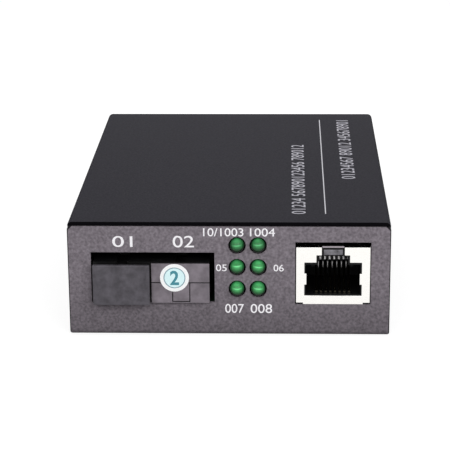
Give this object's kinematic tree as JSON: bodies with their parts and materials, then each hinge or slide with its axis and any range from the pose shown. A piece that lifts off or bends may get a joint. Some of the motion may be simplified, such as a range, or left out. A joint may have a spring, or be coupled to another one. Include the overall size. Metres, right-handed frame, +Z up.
{
  "type": "fibre media converter",
  "caption": "Flat folded-steel box that links a fibre port to a copper network socket, with indicator lamps on the front and a power inlet at the rear.",
  "frame": {"origin": "centre of the case's underside", "axes": "+X to the right seen from the front, +Y towards the rear, +Z up; the connectors face -Y"},
  "size_m": [0.07, 0.0974, 0.026],
  "materials": {
    "panel_paint": "textured powder coat",
    "cover_paint": "satin",
    "blackened_steel": "satin",
    "zinc_steel": "satin",
    "tinned_steel": "bright",
    "board_laminate": "satin",
    "housing_plastic": "matte",
    "clip_plastic": "matte",
    "blank_plastic": "matte",
    "plug_plastic": "matte",
    "label_paper": "matte",
    "contact_gold": "bright",
    "lamp_resin": "translucent",
    "chip_resin": "matte",
    "chip_ceramic": "matte",
    "capacitor_can": "satin"
  },
  "bodies": {
    "converter": {"base_tray": "panel_paint", "top_cover": "cover_paint", "cover_screws": "blackened_steel", "board_standoffs": "zinc_steel", "board_screws": "zinc_steel", "circuit_board": "board_laminate", "transceiver_housing": "housing_plastic", "transceiver_base": "housing_plastic", "transceiver_board": "board_laminate", "transceiver_pins": "contact_gold", "optical_barrel": "zinc_steel", "latch_clip": "clip_plastic", "port_blank": "blank_plastic", "port_sticker": "label_paper", "network_jack_housing": "housing_plastic", "network_jack_shield": "tinned_steel", "network_jack_contacts": "contact_gold", "indicator_holders": "housing_plastic", "indicator_lamps": "lamp_resin", "indicator_leads": "tinned_steel", "power_jack_body": "housing_plastic", "power_jack_pin": "tinned_steel", "power_jack_spring": "contact_gold", "line_transformer": "chip_resin", "transformer_leads": "tinned_steel", "converter_chip": "chip_resin", "chip_leads": "tinned_steel", "timing_crystal": "zinc_steel", "filter_capacitors": "capacitor_can", "supply_choke": "chip_resin", "voltage_regulator": "chip_resin", "chip_resistors": "chip_resin", "chip_capacitors": "chip_ceramic"},
    "plug": {"dust_plug": "plug_plastic"}
  },
  "joints": [
    {"name": "dust_plug_pull", "type": "slide", "parent": "converter", "child": "plug", "axis": [0, -1, 0], "range_m": [0, 0.025]}
  ]
}
